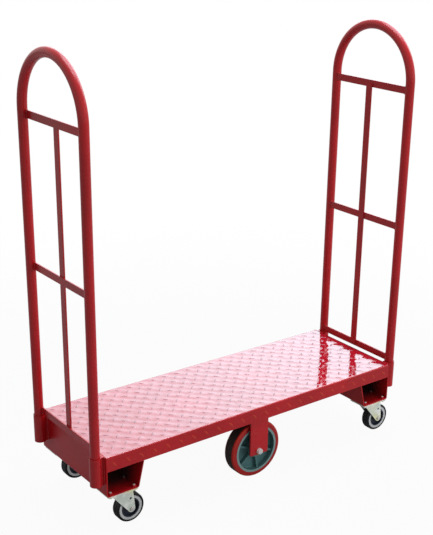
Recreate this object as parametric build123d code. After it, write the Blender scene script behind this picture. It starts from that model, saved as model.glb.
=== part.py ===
from build123d import *
import math
import os

# U-boat platform truck: a long narrow deck on two load wheels and four swivel casters, with a tall
# lift-out hoop at each end. Millimetres. X runs along the deck, Y across it, Z up from the floor.
# Left is -X, right is +X, near is -Y and far is +Y.

# Deck: one sheet of tread plate with its long edges folded down
deck_length = 1219.2
deck_width = 417.0
deck_top = 273.0
deck_sheet = 3.0
deck_bend = 2.0
flange_height = 51.0
lug_length = 28.0
lug_width = 9.0
lug_height = 1.3
lug_slope = 60.0
lug_turn = 45.0
lug_pitch_x = 50.8
lug_pitch_y = 52.3
lug_edge = 17.0
flange_lug_drop = 28.0

# End channels: folded troughs under the deck ends that carry the casters and sockets
channel_sheet = 3.5
channel_bend = 3.0
channel_drop = 141.0
channel_floor_width = 119.0
channel_lean = 13.0
cope_gap = 1.0

# Stanchions: bent tube hoops with flat crossbars and a flat slat
tube_diameter = 31.75
tube_wall = 2.0
leg_side_inset = 25.5
leg_offset = 27.8
hoop_spring_height = 1027.0
rail_depth = 25.0
rail_thickness = 5.0
rail_inset = 8.0
bar_edge = 0.8
lower_rail_height = 16.0
middle_rail_height = 526.0
upper_rail_height = 1008.0
slat_width = 27.0
slat_thickness = 5.0
weld_gap = 0.05

# Sockets: round cups joined to the end walls by a pad
socket_wall = 2.9
socket_length = 99.0
socket_floor = 5.0
socket_clearance = 0.3
socket_pad_width = 24.0
socket_lead_in = 1.0
drain_diameter = 10.0

# Load wheels: ribbed hub with a bonded tyre, on a sleeve clamped in a folded fork
load_wheel_diameter = 208.0
load_tyre_width = 50.0
load_tyre_wall = 18.0
load_tyre_shoulder = 9.0
load_rim_wall = 8.0
load_rim_width = 51.0
load_web = 9.0
load_boss_diameter = 54.0
load_hub_length = 60.0
load_rib_count = 6
load_rib = 7.0
load_rib_inset = 8.0
load_rib_first_angle = 39.0
load_hub_fillet = 3.0
load_bush_wall = 3.0
load_bush_flange = 3.0
load_bush_flange_diameter = 40.0
load_bush_length = 24.0
load_sleeve_diameter = 20.0
load_axle_diameter = 12.0
load_fork_sheet = 6.0
load_fork_bend = 4.0
load_fork_width = 76.0
load_fork_below_axle = 12.0
load_fork_corner = 6.0
load_nut_across_flats = 19.0
load_head_height = 7.5
load_nut_height = 10.0
load_washer_diameter = 22.0
load_washer = 2.5
load_side_gap = 0.5

# Swivel casters
caster_pin_inset = 57.0
caster_side_inset = 38.2
caster_trail = 39.5
caster_plate_length = 112.0
caster_plate_width = 82.0
caster_plate = 4.0
caster_plate_corner = 8.0
caster_bolt_spacing_x = 88.0
caster_bolt_spacing_y = 60.0
caster_bolt_diameter = 8.0
caster_bolt_across_flats = 13.0
caster_bolt_head = 5.3
caster_nut = 6.5
race_gap = 2.4
ball_diameter = 6.0
ball_count = 10
ball_pitch_diameter = 44.0
race_clearance = 0.08
crown_diameter = 66.0
crown = 4.0
crown_skirt = 6.0
crown_skirt_wall = 3.0
king_pin_diameter = 12.0
king_washer_diameter = 26.0
king_washer = 3.0
king_nut_across_flats = 17.0
king_nut = 6.0
caster_fork_sheet = 3.2
caster_fork_bend = 3.0
caster_fork_front = 31.0
caster_fork_back = 35.0
caster_fork_shoulder = 9.0
caster_heel_back = 38.0
caster_heel_drop = 14.0
caster_heel_radius = 8.0
caster_leg_end_radius = 13.0
caster_leg_hole_diameter = 9.5
caster_leg_hole_rise = 39.0
caster_leg_hole_back = 3.0
caster_wheel_diameter = 102.0
caster_tyre_width = 32.0
caster_tyre_wall = 8.0
caster_tyre_shoulder = 5.0
caster_rim_width = 30.0
caster_rim_wall = 9.0
caster_hub_web = 9.0
caster_boss_diameter = 26.0
caster_hub_length = 36.0
caster_hub_lip = 4.0
caster_side_gap = 0.5
caster_sleeve_diameter = 13.0
caster_axle_diameter = 8.0

# Fits
running_clearance = 0.05
bolt_clearance = 0.25
thread_end = 2.0
same_place = 0.01

# Places that follow from the sizes above
deck_underside = deck_top - deck_sheet
channel_base = deck_top - channel_drop
channel_outside = deck_length / 2 + channel_sheet
leg_x = deck_length / 2 + leg_offset
leg_y = deck_width / 2 - leg_side_inset
tube_radius = tube_diameter / 2
socket_radius = tube_radius + socket_clearance + socket_wall
leg_foot = deck_top - socket_length + socket_floor
load_axle_height = load_wheel_diameter / 2
load_fork_gap = load_hub_length + 2 * load_bush_flange + 2 * load_side_gap
load_fork_outside = load_fork_gap + 2 * load_fork_sheet
load_y = deck_width / 2 - deck_sheet - load_fork_outside / 2
caster_x = deck_length / 2 - caster_pin_inset
caster_y = deck_width / 2 - caster_side_inset
caster_axle_height = caster_wheel_diameter / 2
crown_top = channel_base - caster_plate - race_gap
caster_fork_gap = caster_hub_length + 2 * caster_side_gap
caster_fork_outside = caster_fork_gap + 2 * caster_fork_sheet
sides = {"near": -1, "far": 1}
ends = {"left": -1, "right": 1}


def folded_sheet(plane, corners, sheet, bend, width):
    # A sheet bent along the outside corner points, drawn on the plane and wide across it.
    outside = FilletPolyline(*corners, radius=bend + sheet)
    section = make_face(offset(outside, sheet, side=Side.RIGHT, closed=True).edges())
    return extrude(plane * section, width / 2, both=True)


def rod(radius, start, end):
    # A round bar along Y.
    bar = Cylinder(radius, end - start, align=(Align.CENTER, Align.CENTER, Align.MIN))
    return Pos(0, start, 0) * Rot(-90, 0, 0) * bar


def hexagon_bar(across_flats, start, end):
    # A hexagonal bar along Y with two flats level.
    section = RegularPolygon(across_flats / 2, 6, major_radius=False)
    return Pos(0, start, 0) * Rot(-90, 0, 0) * extrude(section, end - start)


def turned(profile):
    # A solid turned about the Y axis from a profile with X as its radius.
    return revolve(profile, Axis.Y)


def band(inner_radius, outer_radius, width):
    # The rectangular profile of a ring about Y.
    return Pos((inner_radius + outer_radius) / 2, 0) * Rectangle(outer_radius - inner_radius, width)


def make_lug(turn):
    # One raised lug of the tread plate: a lozenge with sloping sides.
    tip = lug_length / 2
    flank = lug_width / 2
    lozenge = Polygon((tip, 0), (0, flank), (-tip, 0), (0, -flank), align=None)
    return Rot(0, 0, turn) * extrude(lozenge, lug_height, taper=lug_slope)


def make_deck():
    # The sheet carries two crossing sets of lugs half a pitch apart, and one row on each folded edge.
    half = deck_width / 2
    base = deck_top - flange_height
    corners = [(-half, base), (-half, deck_top), (half, deck_top), (half, base)]
    sheet = folded_sheet(Plane.YZ, corners, deck_sheet, deck_bend, deck_length)
    flat_width = deck_width - 2 * (deck_sheet + deck_bend)
    columns = int((deck_length - 2 * lug_edge) // lug_pitch_x) + 1
    rows = int((flat_width - 2 * lug_edge) // lug_pitch_y) + 1
    top = Pos(0, 0, deck_top)
    falling = GridLocations(lug_pitch_x, lug_pitch_y, columns, rows)
    rising = GridLocations(lug_pitch_x, lug_pitch_y, columns - 1, rows - 1)
    edge_row = GridLocations(lug_pitch_x, lug_pitch_y, columns, 1)
    lugs = [top * spot * make_lug(-lug_turn) for spot in falling]
    lugs += [top * spot * make_lug(lug_turn) for spot in rising]
    for side in sides.values():
        edge_middle = (0, side * half, deck_top - flange_lug_drop)
        face = Plane(edge_middle, x_dir=(-side, 0, 0), z_dir=(0, side, 0))
        lugs += [face * spot * make_lug(-lug_turn) for spot in edge_row]
    return sheet.fuse(*lugs)


def make_end_channel():
    # The trough of the right end; its upper inner corners are coped round the deck's folded edges.
    floor_end = channel_outside - channel_floor_width
    inner_top = floor_end - (deck_top - channel_base) * math.tan(math.radians(channel_lean))
    corners = [
        (channel_outside, deck_top),
        (channel_outside, channel_base),
        (floor_end, channel_base),
        (inner_top, deck_top),
    ]
    sheet = folded_sheet(Plane.XZ, corners, channel_sheet, channel_bend, deck_width)
    reach = deck_length / 2
    above = Box(reach, deck_width, channel_drop, align=(Align.MAX, Align.CENTER, Align.MIN))
    sheet -= Pos(reach, 0, deck_underside) * above
    cope = deck_sheet + deck_bend + cope_gap
    corner = Box(reach, 2 * cope, flange_height + cope_gap, align=(Align.MAX, Align.CENTER, Align.MAX))
    for side in sides.values():
        sheet -= Pos(reach, side * deck_width / 2, deck_top) * corner
    for side in sides.values():
        sheet -= [Pos(caster_x, side * caster_y, channel_base) * hole for hole in bolt_holes()]
    return sheet


def bolt_grid():
    return GridLocations(caster_bolt_spacing_x, caster_bolt_spacing_y, 2, 2)


def bolt_holes():
    # Clearance holes for one caster, long enough to pass the plate and the channel floor.
    reach = 2 * (caster_plate + channel_sheet)
    return [spot * Cylinder(caster_bolt_diameter / 2 + bolt_clearance, reach) for spot in bolt_grid()]


def make_socket():
    # The near right cup, flush with the deck, with a flat pad that meets the end wall.
    top = Align.CENTER, Align.CENTER, Align.MAX
    cup = Cylinder(socket_radius, socket_length, align=top)
    pad_depth = leg_x - channel_outside
    pad = Box(pad_depth, socket_pad_width, socket_length, align=(Align.MAX, Align.CENTER, Align.MAX))
    bore_radius = tube_radius + socket_clearance
    bore = Cylinder(bore_radius, socket_length - socket_floor, align=top)
    lead_in = Cone(bore_radius, bore_radius + socket_lead_in, socket_lead_in, align=top)
    drain = Cylinder(drain_diameter / 2, socket_length, align=top)
    return Pos(leg_x, 0, deck_top) * (cup + pad - bore - lead_in - drain)


def along_hoop(section):
    # Sweeps a round section up one leg, over the half circle and down the other leg.
    spring = deck_top + hoop_spring_height
    crown_point = (leg_x, 0, spring + leg_y)
    path = Line((leg_x, -leg_y, leg_foot), (leg_x, -leg_y, spring))
    path += ThreePointArc((leg_x, -leg_y, spring), crown_point, (leg_x, leg_y, spring))
    path += Line((leg_x, leg_y, spring), (leg_x, leg_y, leg_foot))
    return sweep(Pos(leg_x, -leg_y, leg_foot) * section, path=path)


def make_hoop():
    return along_hoop(Circle(tube_radius) - Circle(tube_radius - tube_wall))


def hoop_half_span(height):
    # Half the span of the hoop's centre line: the legs, and the half circle above them.
    above_legs = max(height - hoop_spring_height, 0)
    return math.sqrt(leg_y**2 - above_legs**2)


def make_rail(height):
    # A flat bar on edge between the legs, set a little to the deck side, its ends coped to the round tube.
    bar = Box(rail_thickness, 2 * hoop_half_span(height), rail_depth)
    bar = fillet(bar.edges().filter_by(Axis.Y), bar_edge)
    bar = Pos(leg_x - rail_inset, 0, deck_top + height) * bar
    return bar - along_hoop(Circle(tube_radius + weld_gap))


def make_slat():
    # A flat upright bar lapped on the deck side of the crossbars.
    length = upper_rail_height - lower_rail_height
    bar = Box(slat_thickness, slat_width, length, align=(Align.MAX, Align.CENTER, Align.MIN))
    bar = fillet(bar.edges().filter_by(Axis.Z), bar_edge)
    rail_face = leg_x - rail_inset - rail_thickness / 2
    return Pos(rail_face, 0, deck_top + lower_rail_height) * bar


def make_load_fork():
    # A folded inverted U under the deck, drilled for the axle bolt.
    half = load_fork_outside / 2
    base = load_axle_height - load_fork_below_axle
    corners = [(-half, base), (-half, deck_underside), (half, deck_underside), (half, base)]
    fork = folded_sheet(Plane.YZ, corners, load_fork_sheet, load_fork_bend, load_fork_width)
    fork = fillet(fork.edges().filter_by(Axis.Y).group_by(Axis.Z)[0], load_fork_corner)
    hole = rod(load_axle_diameter / 2 + bolt_clearance, -half, half)
    return fork - Pos(0, 0, load_axle_height) * hole


def make_load_axle():
    # Bolt with its head on the near side, two washers and a nut.
    half = load_fork_outside / 2
    radius = load_axle_diameter / 2
    seat = half + load_washer
    ring = band(radius + bolt_clearance, load_washer_diameter / 2, load_washer)
    bolt_end = seat + load_nut_height + thread_end
    head = hexagon_bar(load_nut_across_flats, -seat - load_head_height, -seat)
    bolt = rod(radius, -seat, bolt_end) + head
    nut = hexagon_bar(load_nut_across_flats, seat, seat + load_nut_height) - rod(radius, seat, bolt_end)
    washers = [Pos(0, side * (half + load_washer / 2), 0) * turned(ring) for side in (-1, 1)]
    return [bolt, nut] + washers


def make_load_sleeve():
    # Steel tube on the bolt, clamped between the fork legs, on which the wheel turns.
    ring = band(load_axle_diameter / 2 + bolt_clearance, load_sleeve_diameter / 2, load_fork_gap)
    return turned(ring)


def load_bush_bore():
    return load_sleeve_diameter / 2 + running_clearance


def make_load_bushes():
    # A flanged bush pressed into each end of the hub.
    bore = load_bush_bore()
    end = load_hub_length / 2
    tube = Pos(0, end - load_bush_length / 2) * band(bore, bore + load_bush_wall, load_bush_length)
    flange = band(bore, load_bush_flange_diameter / 2, load_bush_flange)
    flange = Pos(0, end + load_bush_flange / 2) * flange
    bush = turned(tube + flange)
    return [bush, Rot(180, 0, 0) * bush]


def make_load_hub():
    # Rim, web and boss in one casting, with radial ribs on both faces of the web.
    rim_radius = load_wheel_diameter / 2 - load_tyre_wall
    rim_inside = rim_radius - load_rim_wall
    boss_radius = load_boss_diameter / 2
    bore = load_bush_bore() + load_bush_wall
    profile = band(bore, boss_radius, load_hub_length)
    profile += band(boss_radius - load_web, rim_inside + load_rim_wall / 2, load_web)
    profile += band(rim_inside, rim_radius, load_rim_width)
    inner_corners = [
        v for v in profile.vertices()
        if abs(abs(v.Y) - load_web / 2) < same_place
        and boss_radius - same_place < v.X < rim_inside + same_place
    ]
    hub = turned(fillet(inner_corners, load_hub_fillet))
    rib_start = boss_radius - load_rib_inset
    rib_end = rim_inside + load_rim_wall / 2
    rib_width = load_rim_width - 2 * load_rib_inset
    rib = Pos((rib_start + rib_end) / 2, 0, 0) * Box(rib_end - rib_start, rib_width, load_rib)
    for count in range(load_rib_count):
        hub += Rot(0, -load_rib_first_angle - count * 360 / load_rib_count, 0) * rib
    return hub


def make_load_tyre():
    # Tyre bonded on the rim, with rounded shoulders.
    outer = load_wheel_diameter / 2
    profile = band(outer - load_tyre_wall, outer, load_tyre_width)
    profile = fillet(profile.vertices().group_by(Axis.X)[-1], load_tyre_shoulder)
    return turned(profile)


def race_groove():
    # The round groove that balls run in, about the king pin and centred between plate and crown.
    return Torus(ball_pitch_diameter / 2, ball_diameter / 2 + race_clearance)


def race_height():
    return crown_top + race_gap / 2


def make_caster_plate():
    # Flat plate bolted under the channel floor, with the upper half of the ball race.
    outline = RectangleRounded(caster_plate_length, caster_plate_width, caster_plate_corner)
    plate = Pos(0, 0, channel_base - caster_plate) * extrude(outline, caster_plate)
    plate -= [Pos(0, 0, channel_base) * hole for hole in bolt_holes()]
    plate -= Pos(0, 0, channel_base) * Cylinder(king_pin_diameter / 2, 3 * caster_plate)
    return plate - Pos(0, 0, race_height()) * race_groove()


def make_king_pin():
    # Pin riveted in the plate, with a washer under the fork crown and a nut below it.
    top = Align.CENTER, Align.CENTER, Align.MAX
    seat = crown_top - crown - race_clearance
    length = channel_base - seat + king_washer + king_nut + thread_end
    pin = Pos(0, 0, channel_base) * Cylinder(king_pin_diameter / 2, length, align=top)
    washer = Pos(0, 0, seat) * Cylinder(king_washer_diameter / 2, king_washer, align=top)
    hexagon = RegularPolygon(king_nut_across_flats / 2, 6, major_radius=False)
    nut = Pos(0, 0, seat - king_washer - king_nut) * extrude(hexagon, king_nut)
    return [pin, washer - pin, nut - pin]


def make_balls():
    ring = PolarLocations(ball_pitch_diameter / 2, ball_count)
    return [Pos(0, 0, race_height()) * place * Sphere(ball_diameter / 2) for place in ring]


def make_caster_fork():
    # Pressed fork: a dished crown with the lower half of the ball race and two trailing legs.
    half = caster_fork_outside / 2
    base = caster_axle_height - caster_leg_end_radius
    corners = [(-half, base), (-half, crown_top), (half, crown_top), (half, base)]
    width = 2 * (caster_trail + caster_heel_back + caster_leg_end_radius)
    legs = folded_sheet(Plane.YZ, corners, caster_fork_sheet, caster_fork_bend, width)
    shoulder_length = caster_fork_front + caster_fork_back
    shoulder_middle = (caster_fork_back - caster_fork_front) / 2
    shoulder = Pos(shoulder_middle, crown_top) * Rectangle(
        shoulder_length, caster_fork_shoulder, align=(Align.CENTER, Align.MAX)
    )
    heel = Pos(caster_heel_back, crown_top - caster_heel_drop) * Circle(caster_heel_radius)
    leg_end = Pos(caster_trail, caster_axle_height) * Circle(caster_leg_end_radius)
    outline = make_hull(shoulder.edges() + heel.edges() + leg_end.edges())
    legs &= extrude(Plane.XZ * outline, caster_fork_outside, both=True)
    top = Align.CENTER, Align.CENTER, Align.MAX
    dish = Cylinder(crown_diameter / 2, crown_skirt, align=top)
    hollow = Cylinder(crown_diameter / 2 - crown_skirt_wall, crown_skirt - crown, align=top)
    dish -= Pos(0, 0, -crown) * hollow
    fork = legs + Pos(0, 0, crown_top) * dish
    fork -= Pos(0, 0, crown_top) * Cylinder(king_pin_diameter / 2 + running_clearance, 4 * crown)
    fork -= Pos(0, 0, race_height()) * race_groove()
    axle_hole = rod(caster_axle_diameter / 2 + bolt_clearance, -half, half)
    fork -= Pos(caster_trail, 0, caster_axle_height) * axle_hole
    leg_hole = rod(caster_leg_hole_diameter / 2, -half, half)
    hole_x = caster_trail - caster_leg_hole_back
    return fork - Pos(hole_x, 0, caster_axle_height + caster_leg_hole_rise) * leg_hole


def make_caster_axle():
    # Bolt, nut and the clamped sleeve that the wheel turns on.
    half = caster_fork_outside / 2
    radius = caster_axle_diameter / 2
    bolt_end = half + caster_nut + thread_end
    head = hexagon_bar(caster_bolt_across_flats, -half - caster_bolt_head, -half)
    bolt = rod(radius, -half, bolt_end) + head
    nut = hexagon_bar(caster_bolt_across_flats, half, half + caster_nut) - rod(radius, half, bolt_end)
    sleeve = turned(band(radius + bolt_clearance, caster_sleeve_diameter / 2, caster_fork_gap))
    return [bolt, nut, sleeve]


def caster_rim_radius():
    return caster_wheel_diameter / 2 - caster_tyre_wall


def make_caster_hub():
    # Moulded hub: boss, web and an outer lip that the rim ring is pressed on.
    lip_radius = caster_rim_radius() - caster_rim_wall
    bore = caster_sleeve_diameter / 2 + running_clearance
    profile = band(bore, caster_boss_diameter / 2, caster_hub_length)
    profile += band(bore, lip_radius - caster_hub_lip / 2, caster_hub_web)
    profile += band(lip_radius - caster_hub_lip, lip_radius, caster_rim_width)
    return turned(profile)


def make_caster_rim():
    rim_radius = caster_rim_radius()
    return turned(band(rim_radius - caster_rim_wall, rim_radius, caster_rim_width))


def make_caster_tyre():
    outer = caster_wheel_diameter / 2
    profile = band(caster_rim_radius(), outer, caster_tyre_width)
    profile = fillet(profile.vertices().group_by(Axis.X)[-1], caster_tyre_shoulder)
    return turned(profile)


def make_caster_fasteners():
    # The bolts and the nuts of one caster.
    head_top = channel_base - caster_plate
    floor_top = channel_base + channel_sheet
    radius = caster_bolt_diameter / 2
    hexagon = RegularPolygon(caster_bolt_across_flats / 2, 6, major_radius=False)
    length = floor_top + caster_nut + thread_end - head_top
    bolt = Pos(0, 0, head_top - caster_bolt_head) * extrude(hexagon, caster_bolt_head)
    bolt += Pos(0, 0, head_top) * Cylinder(radius, length, align=(Align.CENTER, Align.CENTER, Align.MIN))
    nut = Pos(0, 0, floor_top) * (extrude(hexagon, caster_nut) - Cylinder(radius, 3 * caster_nut))
    return [place * bolt for place in bolt_grid()], [place * nut for place in bolt_grid()]


def end_turn(end):
    # Turns a piece drawn at the right end round to the left one.
    return Rot(0, 0, 0 if end > 0 else 180)


nodes = {"deck_plate": [make_deck()]}

for end_name, end in ends.items():
    turn = end_turn(end)
    nodes[f"{end_name}_end_channel"] = [turn * make_end_channel()]
    nodes[f"{end_name}_hoop"] = [turn * make_hoop()]
    nodes[f"{end_name}_upper_rail"] = [turn * make_rail(upper_rail_height)]
    nodes[f"{end_name}_middle_rail"] = [turn * make_rail(middle_rail_height)]
    nodes[f"{end_name}_lower_rail"] = [turn * make_rail(lower_rail_height)]
    nodes[f"{end_name}_slat"] = [turn * make_slat()]
    for side_name, side in sides.items():
        nodes[f"{side_name}_{end_name}_socket"] = [Pos(0, side * leg_y, 0) * turn * make_socket()]

for side_name, side in sides.items():
    outward = Rot(0, 0, 0 if side < 0 else 180)
    place = Pos(0, side * load_y, 0) * outward
    on_axle = Pos(0, side * load_y, load_axle_height) * outward
    nodes[f"{side_name}_load_fork"] = [place * make_load_fork()]
    nodes[f"{side_name}_load_axle"] = [on_axle * piece for piece in make_load_axle()]
    nodes[f"{side_name}_load_sleeve"] = [on_axle * make_load_sleeve()]
    nodes[f"{side_name}_load_bushes"] = [on_axle * piece for piece in make_load_bushes()]
    nodes[f"{side_name}_load_hub"] = [on_axle * make_load_hub()]
    nodes[f"{side_name}_load_tyre"] = [on_axle * make_load_tyre()]

nodes["caster_balls"] = []
nodes["caster_bolts"] = []
nodes["caster_nuts"] = []
for end_name, end in ends.items():
    for side_name, side in sides.items():
        name = f"{side_name}_{end_name}_caster"
        pin = Pos(end * caster_x, side * caster_y, 0)
        axle = pin * Pos(caster_trail, 0, caster_axle_height)
        bolts, nuts = make_caster_fasteners()
        nodes[f"{name}_plate"] = [pin * make_caster_plate()]
        nodes[f"{name}_king_pin"] = [pin * piece for piece in make_king_pin()]
        nodes[f"{name}_fork"] = [pin * make_caster_fork()]
        nodes[f"{name}_axle"] = [axle * piece for piece in make_caster_axle()]
        nodes[f"{name}_hub"] = [axle * make_caster_hub()]
        nodes[f"{name}_rim"] = [axle * make_caster_rim()]
        nodes[f"{name}_tyre"] = [axle * make_caster_tyre()]
        nodes["caster_balls"] += [pin * ball for ball in make_balls()]
        nodes["caster_bolts"] += [pin * bolt for bolt in bolts]
        nodes["caster_nuts"] += [pin * nut for nut in nuts]

os.makedirs("parts", exist_ok=True)
for name, pieces in nodes.items():
    solids = [solid for piece in pieces for solid in piece.solids()]
    export_step(solids[0] if len(solids) == 1 else Compound(children=solids), f"parts/{name}.step")
    print(name, len(solids), "solids", round(sum(solid.volume for solid in solids)), "mm3")
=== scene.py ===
import math

import bmesh
import bpy
from mathutils import Matrix, Vector


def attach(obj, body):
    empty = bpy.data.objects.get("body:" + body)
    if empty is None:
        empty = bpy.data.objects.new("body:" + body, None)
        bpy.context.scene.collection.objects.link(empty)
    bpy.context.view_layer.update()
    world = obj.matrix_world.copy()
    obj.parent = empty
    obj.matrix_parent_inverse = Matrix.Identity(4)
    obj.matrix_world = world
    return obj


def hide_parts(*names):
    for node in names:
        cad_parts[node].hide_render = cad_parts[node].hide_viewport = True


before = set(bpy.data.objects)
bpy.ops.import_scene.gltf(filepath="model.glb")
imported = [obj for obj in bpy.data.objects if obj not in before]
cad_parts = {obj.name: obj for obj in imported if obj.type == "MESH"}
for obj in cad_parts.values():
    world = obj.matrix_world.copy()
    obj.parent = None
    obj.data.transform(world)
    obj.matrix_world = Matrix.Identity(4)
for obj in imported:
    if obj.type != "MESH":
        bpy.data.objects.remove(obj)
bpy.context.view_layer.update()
print("frame loaded:", len(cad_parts), "nodes")

sides = {"near": -1, "far": 1}
ends = {"left": -1, "right": 1}
loadWheel = {"height": 0.104, "side": 0.166}  # its axle from the floor, its middle from the truck's
lugPitch = {"x": 0.0508, "y": 0.0523}


# Node helpers

class Wire:  # an output socket that can stand in sums
    def __init__(self, graph, socket):
        self.graph = graph
        self.socket = socket

    def out(self, name):  # another output of the same node
        return Wire(self.graph, self.socket.node.outputs[name])

    def calc(self, operation, other=0.0):
        return self.graph.add("ShaderNodeMath", {"operation": operation}, {0: self, 1: other})

    def after(self, operation, other):  # the other value comes first
        return self.graph.add("ShaderNodeMath", {"operation": operation}, {0: other, 1: self})

    def __add__(self, other):
        return self.calc("ADD", other)

    def __radd__(self, other):
        return self.after("ADD", other)

    def __sub__(self, other):
        return self.calc("SUBTRACT", other)

    def __rsub__(self, other):
        return self.after("SUBTRACT", other)

    def __mul__(self, other):
        return self.calc("MULTIPLY", other)

    def __rmul__(self, other):
        return self.after("MULTIPLY", other)

    def __truediv__(self, other):
        return self.calc("DIVIDE", other)

    def __rtruediv__(self, other):
        return self.after("DIVIDE", other)

    def __pow__(self, other):  # values below zero count as zero
        return self.calc("MAXIMUM", 0.0).calc("POWER", other)

    def __abs__(self):
        return self.calc("ABSOLUTE")


class Graph:  # a node tree that is written as expressions
    def __init__(self, tree):
        self.tree = tree

    def add(self, kind, settings=None, inputs=None, out=0):
        node = self.tree.nodes.new(kind)
        for name, value in (settings or {}).items():
            setattr(node, name, value)
        for key, value in (inputs or {}).items():
            for part in value if isinstance(value, list) else [value]:
                if isinstance(part, Wire):
                    self.tree.links.new(part.socket, node.inputs[key])
                else:
                    node.inputs[key].default_value = part
        return Wire(self, node.outputs[out]) if node.outputs else node

    def blend(self, share, low, high):  # mixes two colours
        inputs = {0: share, 6: low, 7: high}
        return self.add("ShaderNodeMix", {"data_type": "RGBA"}, inputs, out=2)

    def ramp(self, value, low, high):  # 0 at low, 1 at high
        return self.add("ShaderNodeMapRange", {"interpolation_type": "SMOOTHSTEP"},
                        {"Value": value, "From Min": low, "From Max": high})

    def place(self, stretch=None, shift=None):  # object coordinates in metres
        spot = self.add("ShaderNodeTexCoord", out="Object")
        if stretch or shift:
            spot = self.add("ShaderNodeMapping", {}, {
                "Vector": spot, "Scale": stretch or (1, 1, 1), "Location": shift or (0, 0, 0),
            })
        return spot

    def axes(self, spot):
        parts = self.add("ShaderNodeSeparateXYZ", {}, {0: spot})
        return parts, parts.out("Y"), parts.out("Z")

    def noise(self, scale, detail=2.0, rough=0.5, stretch=None, shift=None):
        return self.add("ShaderNodeTexNoise", {}, {
            "Vector": self.place(stretch, shift), "Scale": scale, "Detail": detail, "Roughness": rough,
        })

    def bump(self, height, depth, under=None):  # under: a coarser bump that this one rides on
        inputs = {"Height": height, "Distance": depth, "Strength": 1.0}
        return self.add("ShaderNodeBump", {}, {**inputs, "Normal": under} if under else inputs)


def tone(red, green, blue):  # a colour as it looks on the screen
    def linear(level):
        level /= 255
        return level / 12.92 if level <= 0.04045 else ((level + 0.055) / 1.055) ** 2.4
    return (linear(red), linear(green), linear(blue), 1.0)


def newFinish(name):
    finish = bpy.data.materials.new(name)
    finish.use_nodes = True
    return finish, Graph(finish.node_tree)


def setShader(finish, values):
    shader = finish.node_tree.nodes["Principled BSDF"]
    for name, value in values.items():
        if isinstance(value, Wire):
            finish.node_tree.links.new(value.socket, shader.inputs[name])
        else:
            shader.inputs[name].default_value = value


# Finishes: a noise is its scale, detail and roughness, and a span is where a ramp starts and ends

enamel = {
    "deep": (164, 16, 22), "bright": (180, 22, 28),
    "deckDeep": (167, 11, 32), "deckBright": (178, 16, 38),
    # On the next line, (206, 84, 46) and (124, 108, 120) are part wear and part painted highlight on the
    # lugs.
    "dust": (150, 92, 84), "troughShade": (40, 12, 11), "primerAndHighlight": (206, 84, 46), "worn": (124, 108, 120),
    # The darkest colour above, (40, 12, 11), is painted shade for the inside of the trough.
    "cloudNoise": (5.0, 3.0), "cloudSpan": (0.3, 0.7), "cloudDull": 0.15,
    "scuffNoise": (60.0, 6.0, 0.65), "scuffSpan": (0.62, 0.74), "scuffDust": 0.12, "scuffDull": 0.5,
    "rubEven": 0.6, "rubScuffed": 0.4,  # shares of a rubbed finish
    "peelNoise": (420.0, 2.0, 0.45), "peelDepth": 0.00002,
    "waveNoise": (30.0, 1.0), "waveDepth": 0.00003, "dishDepth": 0.0004, "dishWave": 3.0,
    "wallFace": 0.6113, "floorFace": 0.1337, "channelBase": 0.132,  # faces inside the trough
    "leanFoot": 0.4961, "leanRise": 0.231,  # its leaning wall
    "shadeReach": (0.202, 0.125), "shadeFray": 0.02,  # painted shade, deepening from the open end of the trough inwards
    # how dark the painted shade inside the trough is, and how much rougher the paint is there
    "troughShadeShare": 0.95, "troughShadeDull": 0.5,
}


def makeEnamel(name, dull, gloss, dished=False, hollow=False, rubbedAndLit=0.0, under="primerAndHighlight"):
    # Baked red enamel with orange peel and faint scuffs. Dished: the sheet sinks between its lugs.
    # Hollow: painted shade darkens the inside of the trough, deepest away from its open ends.
    # Rubbed: how far the coat under it shows, part wear and part painted highlight on the lugs.
    finish, graph = newFinish(name)
    x, y, z = graph.axes(graph.place())
    cloud = graph.ramp(graph.noise(*enamel["cloudNoise"]), *enamel["cloudSpan"])
    peel = graph.noise(*enamel["peelNoise"])
    scuff = graph.ramp(graph.noise(*enamel["scuffNoise"]), *enamel["scuffSpan"])
    shades = ("deckDeep", "deckBright") if dished else ("deep", "bright")
    colour = graph.blend(cloud, *(tone(*enamel[shade]) for shade in shades))
    colour = graph.blend(scuff * enamel["scuffDust"], colour, tone(*enamel["dust"]))
    # The rubbed share is part wear and part painted highlight on the lug crests.
    if rubbedAndLit:
        share = rubbedAndLit * (enamel["rubEven"] + scuff * enamel["rubScuffed"])
        colour = graph.blend(share, colour, tone(*enamel[under]))
    wave = graph.noise(*enamel["waveNoise"])
    if dished:
        rows = (x * (2 * math.pi / lugPitch["x"])).calc("COSINE")
        columns = (y * (2 * math.pi / lugPitch["y"])).calc("COSINE")
        swell = graph.bump(rows * columns + wave * enamel["dishWave"], enamel["dishDepth"])
    else:
        swell = graph.bump(wave, enamel["waveDepth"])
    rough = dull + scuff * dull * enamel["scuffDull"] + cloud * dull * enamel["cloudDull"]
    if hollow:
        # Painted shade: the inside of the trough is darkened, more so away from its open ends.
        lean = abs(x) + (z - enamel["channelBase"]) * enamel["leanRise"]
        inside = abs(x).calc("LESS_THAN", enamel["wallFace"])
        inside = inside * z.calc("GREATER_THAN", enamel["floorFace"])
        inside = inside * lean.calc("GREATER_THAN", enamel["leanFoot"])
        inside = inside * graph.ramp(abs(y) + (wave - 0.5) * enamel["shadeFray"], *enamel["shadeReach"])
        colour = graph.blend(inside * enamel["troughShadeShare"], colour, tone(*enamel["troughShade"]))
        rough = rough + inside * enamel["troughShadeDull"]
    setShader(finish, {
        "Base Color": colour, "Roughness": rough,
        "Specular IOR Level": gloss,
        "Normal": graph.bump(peel, enamel["peelDepth"], swell),
    })
    return finish


def aboutAxle(graph):  # how far from a load wheel's axle, and from its middle plane
    x, y, z = graph.axes(graph.place())
    rise = z - loadWheel["height"]
    return (x * x + rise * rise) ** 0.5, abs(abs(y) - loadWheel["side"])


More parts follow.
